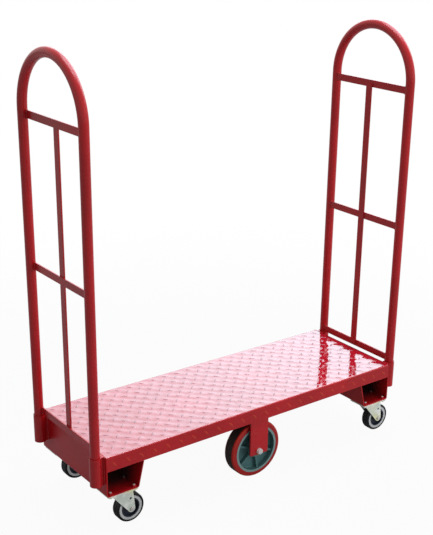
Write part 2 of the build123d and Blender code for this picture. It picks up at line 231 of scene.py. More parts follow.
urethane = {
    # The shoulder colour on the next line, (180, 32, 18), is a painted highlight on the tyre's rounded
    # edge.
    "side": (150, 20, 20), "shoulder": (180, 32, 18), "tread": (34, 25, 22), "treadDust": (60, 48, 42),
    "treadHalf": 0.017, "treadSoft": 0.0008, "treadInner": 0.0985, "treadRise": 0.002,
    "shoulderSpan": (0.094, 0.1005), "shoulderFray": 0.4, "frayNoise": (90.0, 3.0), "frayReach": 0.003,
    "blotchNoise": (35.0, 4.0, 0.6), "dustSpan": (0.5, 0.75),
    "grainNoise": (700.0, 2.0), "grainDepth": 0.00005,
    "dull": 0.36, "treadDull": 0.3, "blotchDull": 0.08, "gloss": 0.35,
}


def makeUrethane(name):  # red moulded tyre with a dark running surface and a painted highlight on its shoulders
    finish, graph = newFinish(name)
    radius, across = aboutAxle(graph)
    fray = (graph.noise(*urethane["frayNoise"]) - 0.5) * urethane["frayReach"]
    half, soft, inner = (urethane[key] for key in ("treadHalf", "treadSoft", "treadInner"))
    tread = graph.ramp(across + fray, half + soft, half - soft)
    tread = tread * graph.ramp(radius, inner, inner + urethane["treadRise"])
    # Painted highlight: a lighter orange band on the rounded shoulder next to the tread.
    shoulder = graph.ramp(radius + fray * urethane["shoulderFray"], *urethane["shoulderSpan"])
    side = graph.blend(shoulder, tone(*urethane["side"]), tone(*urethane["shoulder"]))
    blotch = graph.noise(*urethane["blotchNoise"])
    dusty = graph.ramp(blotch, *urethane["dustSpan"])
    worn = graph.blend(dusty, tone(*urethane["tread"]), tone(*urethane["treadDust"]))
    grain = graph.noise(*urethane["grainNoise"])
    rough = urethane["dull"] + tread * urethane["treadDull"] + blotch * urethane["blotchDull"]
    setShader(finish, {
        "Base Color": graph.blend(tread, side, worn), "Roughness": rough,
        "Specular IOR Level": urethane["gloss"],
        "Normal": graph.bump(grain, urethane["grainDepth"]),
    })
    return finish


hubPaint = {
    # The lip colour on the next line, (124, 150, 147), is part worn metal and part painted highlight.
    "web": (70, 106, 106), "lip": (124, 150, 147), "rust": (92, 100, 92),
    "lipInner": 0.0785, "lipSoft": 0.001, "lipFace": 0.0235, "faceSoft": 0.0012,
    "lipEven": 0.75, "lipStained": 0.4,  # shares of the pale lip, part wear and part painted highlight
    "stainNoise": (28.0, 5.0, 0.62), "rustSpan": (0.6, 0.78), "rustShare": 0.35,
    "castNoise": (330.0, 4.0, 0.6), "castDepth": 0.0003,
    "dull": 0.42, "stainDull": 0.2, "lipShine": 0.08, "lipMetal": 0.25, "gloss": 0.4,
}


def makeHubPaint(name):  # grey-green paint on a casting; the rim's lip is pale from wear and a painted highlight
    finish, graph = newFinish(name)
    radius, across = aboutAxle(graph)
    face = graph.ramp(across, hubPaint["lipFace"], hubPaint["lipFace"] + hubPaint["faceSoft"])
    lip = graph.ramp(radius, hubPaint["lipInner"] - hubPaint["lipSoft"], hubPaint["lipInner"]) * face
    stain = graph.noise(*hubPaint["stainNoise"])
    cast = graph.noise(*hubPaint["castNoise"])
    # The pale lip is part wear and part painted highlight on the face that catches the light.
    pale = lip * (hubPaint["lipEven"] + stain * hubPaint["lipStained"])
    colour = graph.blend(pale, tone(*hubPaint["web"]), tone(*hubPaint["lip"]))
    rusty = graph.ramp(stain, *hubPaint["rustSpan"]) * hubPaint["rustShare"]
    colour = graph.blend(rusty, colour, tone(*hubPaint["rust"]))
    setShader(finish, {
        "Base Color": colour,
        "Roughness": hubPaint["dull"] + stain * hubPaint["stainDull"] - lip * hubPaint["lipShine"],
        "Metallic": lip * hubPaint["lipMetal"], "Specular IOR Level": hubPaint["gloss"],
        "Normal": graph.bump(cast, hubPaint["castDepth"]),
    })
    return finish


zinc = {
    "pale": (244, 247, 238), "straw": (232, 230, 172), "grey": (208, 216, 206),
    "bloomNoise": (26.0, 4.0, 0.58), "bloomSpan": (0.38, 0.66),
    "bandNoise": (14.0, 2.0, 0.5), "bandShift": (3.1, 1.7, 0.4),
    "bandSpan": (0.48, 0.68), "bandShare": 0.7,
    "grainNoise": (900.0, 2.0, 0.5), "grainStretch": (1.0, 1.0, 0.15), "grainDepth": 0.00004,
    "metal": 0.25, "dull": 0.34, "bloomDull": 0.16,
}


def makeZinc(name):  # passivated zinc plate with straw-coloured blotches
    finish, graph = newFinish(name)
    bloom = graph.noise(*zinc["bloomNoise"])
    bands = graph.noise(*zinc["bandNoise"], shift=zinc["bandShift"])
    grain = graph.noise(*zinc["grainNoise"], stretch=zinc["grainStretch"])
    share = graph.ramp(bloom, *zinc["bloomSpan"])
    colour = graph.blend(share, tone(*zinc["grey"]), tone(*zinc["pale"]))
    straw = graph.ramp(bands, *zinc["bandSpan"]) * zinc["bandShare"]
    colour = graph.blend(straw, colour, tone(*zinc["straw"]))
    setShader(finish, {
        "Base Color": colour, "Metallic": zinc["metal"],
        "Roughness": zinc["dull"] + bloom * zinc["bloomDull"],
        "Normal": graph.bump(grain, zinc["grainDepth"]),
    })
    return finish


turnedSteel = {
    # The third colour on the next line, (30, 14, 13), is painted shade for the bolts deep in the trough.
    "light": (232, 228, 224), "dark": (190, 187, 184), "troughShadeOnSteel": (30, 14, 13),
    "smearNoise": (80.0, 4.0, 0.6), "smearSpan": (0.35, 0.7), "troughShadeOnSteelShare": 0.9,
    "markNoise": (1400.0, 3.0, 0.6), "markDepth": 0.00003,
    "metal": 0.3, "dull": 0.24, "smearDull": 0.2, "troughShadeOnSteelDull": 0.4,
}


def makeTurnedSteel(name, hollow=False):  # plated, with turning marks, and darkened with painted shade deep in the trough
    finish, graph = newFinish(name)
    marks = graph.noise(*turnedSteel["markNoise"])
    smear = graph.noise(*turnedSteel["smearNoise"])
    share = graph.ramp(smear, *turnedSteel["smearSpan"])
    colour = graph.blend(share, tone(*turnedSteel["dark"]), tone(*turnedSteel["light"]))
    rough = turnedSteel["dull"] + smear * turnedSteel["smearDull"]
    if hollow:
        # Painted shade: bolts deep in the trough are darkened, more so away from its open ends.
        _, y, z = graph.axes(graph.place())
        inside = z.calc("GREATER_THAN", enamel["floorFace"]) * graph.ramp(abs(y), *enamel["shadeReach"])
        colour = graph.blend(inside * turnedSteel["troughShadeOnSteelShare"], colour, tone(*turnedSteel["troughShadeOnSteel"]))
        rough = rough + inside * turnedSteel["troughShadeOnSteelDull"]
    setShader(finish, {
        "Base Color": colour, "Metallic": turnedSteel["metal"], "Roughness": rough,
        "Normal": graph.bump(marks, turnedSteel["markDepth"]),
    })
    return finish


bronze = {
    "dark": (120, 84, 46), "light": (176, 132, 78), "smearNoise": (60.0, 4.0, 0.6),
    "markNoise": (1200.0, 2.0), "markDepth": 0.00003, "metal": 0.9, "dull": 0.3, "smearDull": 0.2,
}


def makeBronze(name):  # oiled bearing bronze
    finish, graph = newFinish(name)
    smear = graph.noise(*bronze["smearNoise"])
    marks = graph.noise(*bronze["markNoise"])
    setShader(finish, {
        "Base Color": graph.blend(smear, tone(*bronze["dark"]), tone(*bronze["light"])),
        "Metallic": bronze["metal"], "Roughness": bronze["dull"] + smear * bronze["smearDull"],
        "Normal": graph.bump(marks, bronze["markDepth"]),
    })
    return finish


rubber = {
    "black": (9, 10, 13), "dust": (30, 31, 33),
    "dustNoise": (55.0, 5.0, 0.65), "dustSpan": (0.5, 0.8), "dustShare": 0.35,
    "grainNoise": (1100.0, 3.0, 0.6), "grainDepth": 0.00006,
    "dull": 0.5, "dustDull": 0.25, "gloss": 0.3,
}


def makeRubber(name):  # black caster tyre with dusty patches
    finish, graph = newFinish(name)
    dust = graph.ramp(graph.noise(*rubber["dustNoise"]), *rubber["dustSpan"])
    grain = graph.noise(*rubber["grainNoise"])
    share = dust * rubber["dustShare"]
    setShader(finish, {
        "Base Color": graph.blend(share, tone(*rubber["black"]), tone(*rubber["dust"])),
        "Roughness": rubber["dull"] + dust * rubber["dustDull"], "Specular IOR Level": rubber["gloss"],
        "Normal": graph.bump(grain, rubber["grainDepth"]),
    })
    return finish


moulded = {
    "cloudNoise": (40.0, 3.0), "cloudDull": 0.1, "gloss": 0.4,
    "grainNoise": (1500.0, 2.0, 0.5), "grainDepth": 0.00003,
}
rimGrey = {"low": (172, 174, 174), "high": (200, 202, 201), "dull": 0.38}
hubNavy = {"low": (26, 30, 40), "high": (40, 46, 60), "dull": 0.4}


def makeMoulded(name, shade):  # moulded plastic with a fine spark-eroded grain
    finish, graph = newFinish(name)
    cloud = graph.noise(*moulded["cloudNoise"])
    grain = graph.noise(*moulded["grainNoise"])
    setShader(finish, {
        "Base Color": graph.blend(cloud, tone(*shade["low"]), tone(*shade["high"])),
        "Roughness": shade["dull"] + cloud * moulded["cloudDull"],
        "Specular IOR Level": moulded["gloss"],
        "Normal": graph.bump(grain, moulded["grainDepth"]),
    })
    return finish


finishes = {
    "red_paint": makeEnamel("frameEnamel", dull=0.25, gloss=0.36),
    "red_polyurethane": makeUrethane("tyreUrethane"),
    "hub_grey": makeHubPaint("hubGreyPaint"),
    "zinc": makeZinc("zincPlate"),
    "bright_steel": makeTurnedSteel("platedSteel"),
    "bronze": makeBronze("bushBronze"),
    "black_rubber": makeRubber("casterRubber"),
    "light_rim": makeMoulded("casterRimGrey", rimGrey),
    "dark_hub": makeMoulded("casterHubNavy", hubNavy),
}
deckFinish = makeEnamel("deckEnamel", dull=0.08, gloss=1.0, dished=True)
# Deck lugs: crests blended towards a pale mauve grey, part wear and part a painted reflection of the
# white studio.
lugFinish = makeEnamel("lugEnamel", dull=0.24, gloss=1.0, rubbedAndLit=0.65, under="worn")
# Edge lugs: blended towards orange, part rubbed through to primer and part a painted highlight.
edgeLugFinish = makeEnamel("edgeLugEnamel", dull=0.4, gloss=0.35, rubbedAndLit=0.4)
# The trough's finish carries painted shade inside the trough.
troughFinish = makeEnamel("troughEnamel", dull=0.33, gloss=0.27, hollow=True)
# Plate bolts: painted shade darkens those deep in the trough.
boltFinish = makeTurnedSteel("plateBoltSteel", hollow=True)
print("finishes made for", len(finishes), "slots")

for name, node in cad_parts.items():
    for slot in node.material_slots:
        slot.material = finishes[slot.material.name.split(".")[0]]
        # The end channels take the trough finish, with its painted shade inside.
        if name.endswith("_end_channel"):
            slot.material = troughFinish


# Piece helpers

def newPiece(name, mesh, body):
    piece = bpy.data.objects.new(name, mesh)
    bpy.context.scene.collection.objects.link(piece)
    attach(piece, body)
    return piece


def newTree(name, inputs):  # a geometry tree with named inputs, and its input wires
    tree = bpy.data.node_groups.new(name, "GeometryNodeTree")
    for label, kind in inputs.items():
        tree.interface.new_socket(label, in_out="INPUT", socket_type="NodeSocket" + kind)
    tree.interface.new_socket("Geometry", in_out="OUTPUT", socket_type="NodeSocketGeometry")
    graph = Graph(tree)
    entry = graph.add("NodeGroupInput")
    return tree, graph, {label: entry.out(label) for label in inputs}


def closeTree(graph, geometry, material):  # every tree ends as plain geometry with its finish
    real = graph.add("GeometryNodeRealizeInstances", {}, {"Geometry": geometry})
    dressed = graph.add("GeometryNodeSetMaterial", {}, {"Geometry": real, "Material": material})
    graph.add("NodeGroupOutput", {}, {0: dressed})


def grow(tree, values, source=None, wall=0.0):
    # Runs a tree on a mesh and gives back the plain mesh it makes. Wall: thickens an open skin inwards.
    carrier = bpy.data.objects.new(tree.name, source or bpy.data.meshes.new(tree.name))
    bpy.context.scene.collection.objects.link(carrier)
    modifier = carrier.modifiers.new(tree.name, "NODES")
    modifier.node_group = tree
    for item in tree.interface.items_tree:
        if item.in_out == "INPUT" and item.name in values:
            modifier[item.identifier] = values[item.name]
    if wall:
        skin = carrier.modifiers.new("wall", "SOLIDIFY")
        skin.thickness = wall
        skin.offset = -1.0
        skin.use_even_offset = True
    carrier.update_tag()
    graph = bpy.context.evaluated_depsgraph_get()
    mesh = bpy.data.meshes.new_from_object(carrier.evaluated_get(graph))
    carrier.modifiers.clear()
    bpy.data.objects.remove(carrier)
    return mesh


def joined(name, parts):  # one mesh from several, each with its finish
    bm = bmesh.new()
    used = []
    for mesh, finish in parts:
        if finish not in used:
            used.append(finish)
        first = len(bm.faces)
        bm.from_mesh(mesh)
        bm.faces.ensure_lookup_table()
        for face in bm.faces[first:]:
            face.material_index = used.index(finish)
    result = bpy.data.meshes.new(name)
    bm.to_mesh(result)
    bm.free()
    for finish in used:
        result.materials.append(finish)
    return result


def softenEdges(mesh, angle):  # smooth faces with sharp edges past an angle
    for face in mesh.polygons:
        face.use_smooth = True
    mesh.set_sharp_from_angle(angle=math.radians(angle))
    return mesh


def lathe(bm, profile, segments, ring, flats):
    # Turns (radius, height) points about Z. Ring: the profile closes. Flats: cut back to a hexagon.
    rows = []
    for radius, height in profile:
        if radius == 0:
            rows.append([bm.verts.new((0, 0, height))])
            continue
        row = []
        for step in range(segments):
            angle = 2 * math.pi * step / segments
            reach = radius
            if flats:
                within = (angle + math.pi / 6) % (math.pi / 3) - math.pi / 6
                reach = min(radius, flats / 2 / math.cos(within))
            row.append(bm.verts.new((reach * math.cos(angle), reach * math.sin(angle), height)))
        rows.append(row)
    if ring:
        rows.append(rows[0])
    for low, high in zip(rows, rows[1:]):
        for step in range(segments):
            following = (step + 1) % segments
            corners = [low[step % len(low)], low[following % len(low)],
                       high[following % len(high)], high[step % len(high)]]
            bm.faces.new(list(dict.fromkeys(corners)))


turnedAngle = 35  # edges of turned pieces are sharp past it


def latheMesh(name, shells):  # one mesh from turned shells, each (profile, segments, ring, flats)
    bm = bmesh.new()
    for profile, segments, ring, flats in shells:
        lathe(bm, profile, segments, ring, flats)
    bmesh.ops.recalc_face_normals(bm, faces=bm.faces)
    mesh = bpy.data.meshes.new(name)
    bm.to_mesh(mesh)
    bm.free()
    return softenEdges(mesh, turnedAngle)


# Tread deck: the folded sheet and its lens-shaped lugs

treadPlate = {
    "length": 1.2192, "width": 0.417, "top": 0.273, "sheet": 0.003, "bend": 0.002, "flange": 0.051,
    "bendSteps": 6, "edgeBevel": 0.0005, "bevelSteps": 2, "bevelRound": 0.5, "bevelAngle": 60,
    "softAngle": 40, "flatFrom": 0.01,
    "lugLength": 0.028, "lugWidth": 0.009, "lugHeight": 0.0013, "lugSink": 0.0002, "lugTurn": 45.0,
    "lugGridX": 11, "lugGridY": 5, "lugPoint": 1.8, "lugCrown": 1.1, "lugMerge": 0.00002,
    "columns": 24, "rows": 8, "edgeDrop": 0.028,
}


def makeLugTree(plate):
    tree, graph, size = newTree("lensLugs", {
        "Length": "Float", "Width": "Float", "Height": "Float", "Sink": "Float", "Turn": "Float",
        "Pitch X": "Float", "Pitch Y": "Float", "Columns": "Int", "Rows": "Int", "Finish": "Material",
    })
    sheet = graph.add("GeometryNodeMeshGrid", {}, {
        "Size X": 2.0, "Size Y": 2.0, "Vertices X": plate["lugGridX"], "Vertices Y": plate["lugGridY"],
    })
    along, across, _ = graph.axes(graph.add("GeometryNodeInputPosition"))
    narrow = 1 - abs(along) ** plate["lugPoint"]  # pointed ends
    crown = (1 - across * across) ** plate["lugCrown"] * (1 - along * along)
    outline = {"X": along * size["Length"] / 2, "Y": across * narrow * size["Width"] / 2}
    below = size["Sink"] * -1.0
    upper = graph.add("ShaderNodeCombineXYZ", {}, {**outline, "Z": crown * size["Height"] + below})
    lower = graph.add("ShaderNodeCombineXYZ", {}, {**outline, "Z": below})
    top = graph.add("GeometryNodeSetPosition", {}, {"Geometry": sheet, "Position": upper})
    base = graph.add("GeometryNodeSetPosition", {}, {"Geometry": sheet, "Position": lower})
    base = graph.add("GeometryNodeFlipFaces", {}, {"Mesh": base})
    lug = graph.add("GeometryNodeJoinGeometry", {}, {"Geometry": [top, base]})
    lug = graph.add("GeometryNodeMergeByDistance", {}, {
        "Geometry": lug, "Distance": plate["lugMerge"],
    })
    lug = graph.add("GeometryNodeSetShadeSmooth", {}, {"Geometry": lug})
    spots = graph.add("GeometryNodeMeshGrid", {}, {
        "Size X": (size["Columns"] - 1) * size["Pitch X"],
        "Size Y": (size["Rows"] - 1) * size["Pitch Y"],
        "Vertices X": size["Columns"], "Vertices Y": size["Rows"],
    })
    turn = graph.add("ShaderNodeCombineXYZ", {}, {"Z": size["Turn"]})
    turn = graph.add("FunctionNodeEulerToRotation", {}, {0: turn})
    lugs = graph.add("GeometryNodeInstanceOnPoints", {}, {
        "Points": spots, "Instance": lug, "Rotation": turn,
    })
    closeTree(graph, lugs, size["Finish"])
    return tree


def foldedSheet(plate):
    half = plate["width"] / 2
    outer = plate["sheet"] + plate["bend"]
    base = plate["top"] - plate["flange"]

    def path(radius):  # from the near folded edge over the deck to the far one
        inset = outer - radius
        points = [(inset - half, base)]
        for side, first in ((-1, 180), (1, 90)):
            for step in range(plate["bendSteps"] + 1):
                angle = math.radians(first - 90 * step / plate["bendSteps"])
                points.append((side * (half - outer) + radius * math.cos(angle),
                               plate["top"] - outer + radius * math.sin(angle)))
        return points + [(half - inset, base)]

    section = path(outer) + path(plate["bend"])[::-1]
    bm = bmesh.new()
    rows = [[bm.verts.new((x, y, z)) for y, z in section]
            for x in (-plate["length"] / 2, plate["length"] / 2)]
    count = len(section)
    for step in range(count):
        after = (step + 1) % count
        bm.faces.new((rows[0][step], rows[0][after], rows[1][after], rows[1][step]))
    for row in rows:  # the cut ends, one quad at a time along the fold
        for step in range(count // 2 - 1):
            bm.faces.new((row[step], row[step + 1], row[count - 2 - step], row[count - 1 - step]))
    bmesh.ops.recalc_face_normals(bm, faces=bm.faces)
    limit = math.radians(plate["bevelAngle"])
    sharp = [edge for edge in bm.edges if edge.calc_face_angle(0) > limit]
    bmesh.ops.bevel(bm, geom=sharp, offset=plate["edgeBevel"], segments=plate["bevelSteps"],
                    affect="EDGES", profile=plate["bevelRound"])
    mesh = bpy.data.meshes.new("foldedSheet")
    bm.to_mesh(mesh)
    bm.free()
    return mesh


def makeTreadDeck(plate):
    tree = makeLugTree(plate)
    common = {
        "Length": plate["lugLength"], "Width": plate["lugWidth"], "Height": plate["lugHeight"],
        "Sink": plate["lugSink"], "Pitch X": lugPitch["x"], "Pitch Y": lugPitch["y"],
        "Finish": lugFinish,
    }
    turn = math.radians(plate["lugTurn"])
    columns, rows = plate["columns"], plate["rows"]
    falling = grow(tree, {**common, "Turn": -turn, "Columns": columns, "Rows": rows})
    rising = grow(tree, {**common, "Turn": turn, "Columns": columns - 1, "Rows": rows - 1})
    parts = [(foldedSheet(plate), deckFinish), (falling, lugFinish), (rising, lugFinish)]
    for mesh in (falling, rising):
        mesh.transform(Matrix.Translation((0, 0, plate["top"])))
    for side in sides.values():
        row = grow(tree, {**common, "Turn": -turn, "Columns": columns, "Rows": 1})
        upright = Matrix.Rotation(math.pi, 4, "Z") if side > 0 else Matrix.Identity(4)
        spot = Matrix.Translation((0, side * plate["width"] / 2, plate["top"] - plate["edgeDrop"]))
        row.transform(spot @ upright @ Matrix.Rotation(math.pi / 2, 4, "X"))
        parts.append((row, edgeLugFinish))
    deck = softenEdges(joined("treadDeck", parts), plate["softAngle"])
    deck.materials.append(finishes["red_paint"])
    for face in deck.polygons:  # the polished finish is on the top only, and flat faces stay flat
        if face.material_index == 0 and face.center.z < plate["top"] - plate["bend"] / 4:
            face.material_index = len(deck.materials) - 1
        face.use_smooth = face.area < plate["flatFrom"]
    return deck


treadDeck = newPiece("treadDeck", makeTreadDeck(treadPlate), "truck")
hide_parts("deck_plate")
print("tread deck made:", len(treadDeck.data.polygons), "faces")


# Weld beads

weld = {
    "ripple": 0.0022, "waves": 0.14, "sides": 8, "step": 0.0008,
    "saddleRadius": 0.0022, "seamRadius": 0.0018, "socketRadius": 0.0026,
    "slatSeams": ((0.2905, 0.3005), (0.7875, 0.8105), (1.2695, 1.2795)),  # one at each crossbar
    "socketSeam": (0.1765, 0.2715), "padHalf": 0.012,
}
legX, legY, tubeRadius = 0.6374, 0.183, 0.015875
railHeights = {"lower": 0.289, "middle": 0.799, "upper": 1.281}
railFront, railBack = 0.0105, 0.0055  # from the leg's axis towards the deck
railHalf, slatHalf, endWall = 0.0125, 0.0135, 0.6131


def makeWeldTree():
    tree, graph, size = newTree("weldBead", {
        "Path": "Geometry", "Radius": "Float", "Ripple": "Float", "Waves": "Float",
        "Finish": "Material",
    })
    path = graph.add("GeometryNodeMeshToCurve", {}, {0: size["Path"]})
    path = graph.add("GeometryNodeResampleCurve", {"mode": "LENGTH"}, {
        "Curve": path, "Length": weld["step"],
    })
    run = graph.add("GeometryNodeSplineParameter", out="Length")
    swell = 1 + size["Waves"] * (run * (2 * math.pi) / size["Ripple"]).calc("SINE")
    ring = graph.add("GeometryNodeCurvePrimitiveCircle", {}, {
        "Resolution": weld["sides"], "Radius": size["Radius"],
    })
    bead = graph.add("GeometryNodeCurveToMesh", {}, {
        "Curve": path, "Profile Curve": ring, "Scale": swell, "Fill Caps": True,
    })
    bead = graph.add("GeometryNodeSetShadeSmooth", {}, {"Geometry": bead})
    closeTree(graph, bead, size["Finish"])
    return tree


def pathMesh(paths):  # lines of points, each (points, closed)
    points = []
    edges = []
    for line, closed in paths:
        first = len(points)
        points += line
        edges += [(first + step, first + step + 1) for step in range(len(line) - 1)]
        if closed:
            edges.append((len(points) - 1, first))
    mesh = bpy.data.meshes.new("linePath")
    mesh.from_pydata(points, edges, [])
    return mesh


def railSaddle(end, side, height):  # where a flat crossbar meets the round leg
    points = []
    for reach, rise in ((railFront, -1), (railFront, 1), (railBack, 1), (railBack, -1)):
        y = side * (legY - math.sqrt(tubeRadius**2 - reach**2))
        points.append((end * (legX - reach), y, height + rise * railHalf))
    return points


weldTree = makeWeldTree()


def makeWelds(name, body, runs):  # runs: bead radius to its paths
    parts = []
    for radius, paths in runs.items():
        bead = grow(weldTree, {
            "Radius": radius, "Ripple": weld["ripple"], "Waves": weld["waves"],
            "Finish": finishes["red_paint"],
        }, pathMesh(paths))
        parts.append((bead, finishes["red_paint"]))
    return newPiece(name, joined(name, parts), body)


for endName, end in ends.items():
    saddles = [(railSaddle(end, side, height), True)
               for height in railHeights.values() for side in sides.values()]
    seams = []
    for span in weld["slatSeams"]:
        for side in sides.values():
            seam = [(end * (legX - railFront), side * slatHalf, height) for height in span]
            seams.append((seam, False))
    makeWelds(endName + "StanchionWelds", endName + "_stanchion",
              {weld["saddleRadius"]: saddles, weld["seamRadius"]: seams})

truckRuns = []
for end in ends.values():
    for side in sides.values():
        for edge in (-1, 1):
            y = side * legY + edge * weld["padHalf"]
            seam = [(end * endWall, y, height) for height in weld["socketSeam"]]
            truckRuns.append((seam, False))
truckWelds = makeWelds("truckWelds", "truck", {weld["socketRadius"]: truckRuns})
print("weld beads made:", len(truckWelds.data.polygons), "faces on the truck")


# Stanchion hoops: bent tube

hoop = {"foot": 0.179, "spring": 1.3, "wall": 0.002, "sides": 40, "archSteps": 96, "softAngle": 40}


def makeTubeTree():
    tree, graph, size = newTree("bentTube", {
        "Path": "Geometry", "Radius": "Float", "Sides": "Int", "Finish": "Material",
    })
    path = graph.add("GeometryNodeMeshToCurve", {}, {0: size["Path"]})
    ring = graph.add("GeometryNodeCurvePrimitiveCircle", {}, {
        "Resolution": size["Sides"], "Radius": size["Radius"],
    })
    tube = graph.add("GeometryNodeCurveToMesh", {}, {"Curve": path, "Profile Curve": ring})
    closeTree(graph, tube, size["Finish"])
    return tree


tubeTree = makeTubeTree()


def makeHoop(name, end):
    line = [(end * legX, -legY, hoop["foot"])]
    for step in range(hoop["archSteps"] + 1):
        angle = math.pi * (1 - step / hoop["archSteps"])
        line.append((end * legX, legY * math.cos(angle), hoop["spring"] + legY * math.sin(angle)))
    line.append((end * legX, legY, hoop["foot"]))
    values = {"Radius": tubeRadius, "Sides": hoop["sides"], "Finish": finishes["red_paint"]}
    tube = grow(tubeTree, values, pathMesh([(line, False)]), hoop["wall"])
    tube.name = name
    return softenEdges(tube, hoop["softAngle"])


for endName, end in ends.items():
    hoopName = endName + "Hoop"
    bentHoop = newPiece(hoopName, makeHoop(hoopName, end), endName + "_stanchion")
    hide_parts(endName + "_hoop")
print("hoops bent")


# Fasteners: hexagon heads, nuts and washers with their chamfers

hexShape = {
    "steps": 48, "faceShare": 0.95, "chamfer": 0.5, "chamferSteps": (0, 0.33, 0.66, 1),
    "tipShare": 0.82, "tipRise": 0.25, "boreGap": 0.00002,
}
smallBolt = {"flats": 0.013, "head": 0.0053, "nut": 0.0065, "rod": 0.004, "tail": 0.002}
loadAxleSizes = {
    "flats": 0.019, "head": 0.0075, "nut": 0.010, "rod": 0.006, "tail": 0.002, "seat": 0.042,
    "washer": 0.0025, "washerRadius": 0.011, "washerGap": 0.0002, "washerEdge": 0.0006,
}
plateBoltSizes = {
    **smallBolt, "underPlate": 0.128, "onFloor": 0.1355,
    "pinX": 0.5526, "pinY": 0.1703, "spanX": 0.088, "spanY": 0.060,
}
casterAxleSizes = {
    **smallBolt, "half": 0.0217, "trail": 0.0395, "height": 0.051,
    "sleeveRadius": 0.0065, "sleeveHalf": 0.0185, "sleeveBore": 0.00425, "sleeveEdge": 0.0004,
}


def hexChamfer(flats, base, height, bothEnds):  # profile of a hexagon with its corners turned off
    corner = flats / 2 / math.cos(math.pi / 6)
    face = flats / 2 * hexShape["faceShare"]
    drop = (corner - face) * hexShape["chamfer"]
    rise = [(face + (corner - face) * share, drop * share) for share in hexShape["chamferSteps"]]
    upper = [(radius, base + height - depth) for radius, depth in rise]
    if bothEnds:
        return upper + [(radius, base + depth) for radius, depth in reversed(rise)]
    return upper + [(corner, base)]


def boltShell(sizes, seat, reach):  # head above the seat, rod down to the reach
    head = hexChamfer(sizes["flats"], seat, sizes["head"], False)
    rod = sizes["rod"]
    tip = rod * hexShape["tipShare"]
    shank = [(rod, seat), (rod, -reach + rod * hexShape["tipRise"]), (tip, -reach)]
    profile = [(0, seat + sizes["head"])] + head + shank + [(0, -reach)]
    return (profile, hexShape["steps"], False, sizes["flats"])


def nutShell(sizes, top):  # hangs below the top
    body = hexChamfer(sizes["flats"], top - sizes["nut"], sizes["nut"], True)
    bore = sizes["rod"] + hexShape["boreGap"]
    profile = [(bore, top)] + body + [(bore, top - sizes["nut"])]
    return (profile, hexShape["steps"], True, sizes["flats"])


def ringShell(inner, outer, low, high, soft):  # a washer or sleeve with softened edges
    profile = [(inner, low), (outer - soft, low), (outer, low + soft), (outer, high - soft),
               (outer - soft, high), (inner, high)]
    return (profile, hexShape["steps"], True, None)


def makeFastenerTree():
    tree, graph, size = newTree("fastenerSet", {
        "Spots": "Geometry", "Pattern": "Object", "Finish": "Material",
    })
    shape = graph.add("GeometryNodeObjectInfo", {}, {"Object": size["Pattern"]}, out="Geometry")
    axis = graph.add("GeometryNodeInputNamedAttribute", {"data_type": "FLOAT_VECTOR"}, {
        "Name": "axis",
    })
    turn = graph.add("FunctionNodeAlignRotationToVector", {"axis": "Z"}, {"Vector": axis})
    placed = graph.add("GeometryNodeInstanceOnPoints", {}, {
        "Points": size["Spots"], "Instance": shape, "Rotation": turn,
    })
    closeTree(graph, placed, size["Finish"])
    return tree


fastenerTree = makeFastenerTree()


def setFasteners(name, shells, spots, finish):  # spots: (place, axis towards the head)
    pattern = bpy.data.objects.new(name + "Pattern", latheMesh(name + "Pattern", shells))
    points = bpy.data.meshes.new(name + "Spots")
    points.from_pydata([place for place, _ in spots], [], [])
    axes = points.attributes.new("axis", "FLOAT_VECTOR", "POINT")
    for index, (_, axis) in enumerate(spots):
        axes.data[index].vector = axis
    mesh = grow(fastenerTree, {"Pattern": pattern, "Finish": finish}, points)
    bpy.data.objects.remove(pattern)
    mesh.name = name
    return mesh


def makeLoadAxles(sizes):
    seat = sizes["seat"]
    washerLow = seat - sizes["washer"]
    washerBore = sizes["rod"] + sizes["washerGap"]
    shells = [
        boltShell(sizes, seat, seat + sizes["nut"] + sizes["tail"]),
        nutShell(sizes, -seat),
        ringShell(washerBore, sizes["washerRadius"], washerLow, seat, sizes["washerEdge"]),
        ringShell(washerBore, sizes["washerRadius"], -seat, -washerLow, sizes["washerEdge"]),
    ]
    spots = []
    for side in sides.values():
        place = (0, side * loadWheel["side"], loadWheel["height"])
        spots.append((place, (0, side, 0)))
    mesh = setFasteners("loadAxles", shells, spots, finishes["bright_steel"])
    loadAxles = newPiece("loadAxles", mesh, "truck")
    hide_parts("near_load_axle", "far_load_axle")


def makePlateBolts(sizes):  # with their nuts
    reach = sizes["onFloor"] + sizes["nut"] + sizes["tail"] - sizes["underPlate"]
    spots = []
    for end in ends.values():
        for side in sides.values():
            for stepX in (-0.5, 0.5):
                for stepY in (-0.5, 0.5):
                    x = end * sizes["pinX"] + stepX * sizes["spanX"]
                    y = side * sizes["pinY"] + stepY * sizes["spanY"]
                    spots.append(((x, y, sizes["underPlate"]), (0, 0, -1)))
    boltMesh = setFasteners("plateBolts", [boltShell(sizes, 0.0, reach)], spots, boltFinish)
    plateBolts = newPiece("plateBolts", boltMesh, "truck")
    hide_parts("caster_bolts")
    nutShells = [nutShell(sizes, sizes["underPlate"] - sizes["onFloor"])]
    nutMesh = setFasteners("plateNuts", nutShells, spots, troughFinish)  # painted over with the trough, and given its painted shade deep inside it
    plateNuts = newPiece("plateNuts", nutMesh, "truck")
    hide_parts("caster_nuts")


makeLoadAxles(loadAxleSizes)
makePlateBolts(plateBoltSizes)
print("fasteners made")


# Casters: axle stacks and grooved tyres

casterTyre = {
    "inner": 0.043, "outer": 0.051, "half": 0.016, "shoulder": 0.005, "shoulderSteps": 6,
    "segments": 96,
    "grooves": (-0.0055, 0.0055), "grooveWidth": 0.0022, "grooveDepth": 0.0012,
    "grooveShape": ((-0.5, 0), (-0.32, 1), (0.32, 1), (0.5, 0)),  # shares of its width and depth
}


